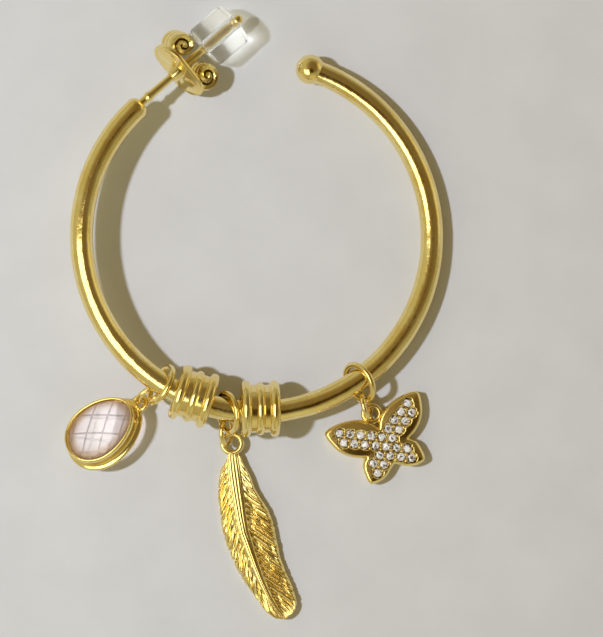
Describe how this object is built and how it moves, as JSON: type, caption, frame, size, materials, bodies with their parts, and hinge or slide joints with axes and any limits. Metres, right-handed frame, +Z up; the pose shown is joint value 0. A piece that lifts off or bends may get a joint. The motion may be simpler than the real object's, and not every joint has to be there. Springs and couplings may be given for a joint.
{
  "type": "hoop charm earring",
  "caption": "Gold hoop earring with ear post and butterfly clutch, spacer beads, and feather, butterfly and faceted drop charms on rings.",
  "frame": {"origin": "middle of the lying earring's footprint, on the surface it lies on", "axes": "+Z up from the surface; +Y from the charms towards the ear post's side; +X to the right as seen from above"},
  "size_m": [0.0366, 0.0592, 0.0058],
  "materials": {
    "gold_plate": "polished yellow gold plating on brass",
    "clear_plastic": "clear, glossy",
    "rose_stone": "clear faint rose, faceted",
    "clear_stones": "clear, faceted"
  },
  "bodies": {
    "earring": {"hoop": "gold_plate", "spacer_bead_left": "gold_plate", "spacer_bead_right": "gold_plate", "drop_hoop_ring": "gold_plate", "drop_link": "gold_plate", "drop_bezel": "gold_plate", "drop_stone": "rose_stone", "feather_hoop_ring": "gold_plate", "feather_link": "gold_plate", "feather_charm": "gold_plate", "butterfly_hoop_ring": "gold_plate", "butterfly_link": "gold_plate", "butterfly_setting": "gold_plate", "butterfly_stones": "clear_stones"},
    "clutch": {"clutch_nut": "gold_plate", "clutch_tube": "clear_plastic"}
  },
  "joints": [
    {"name": "clutch_slide", "type": "slide", "parent": "earring", "child": "clutch", "axis": [0.7497, 0.6583, -0.0679], "range_m": [-0.0022, 0.0088]}
  ]
}
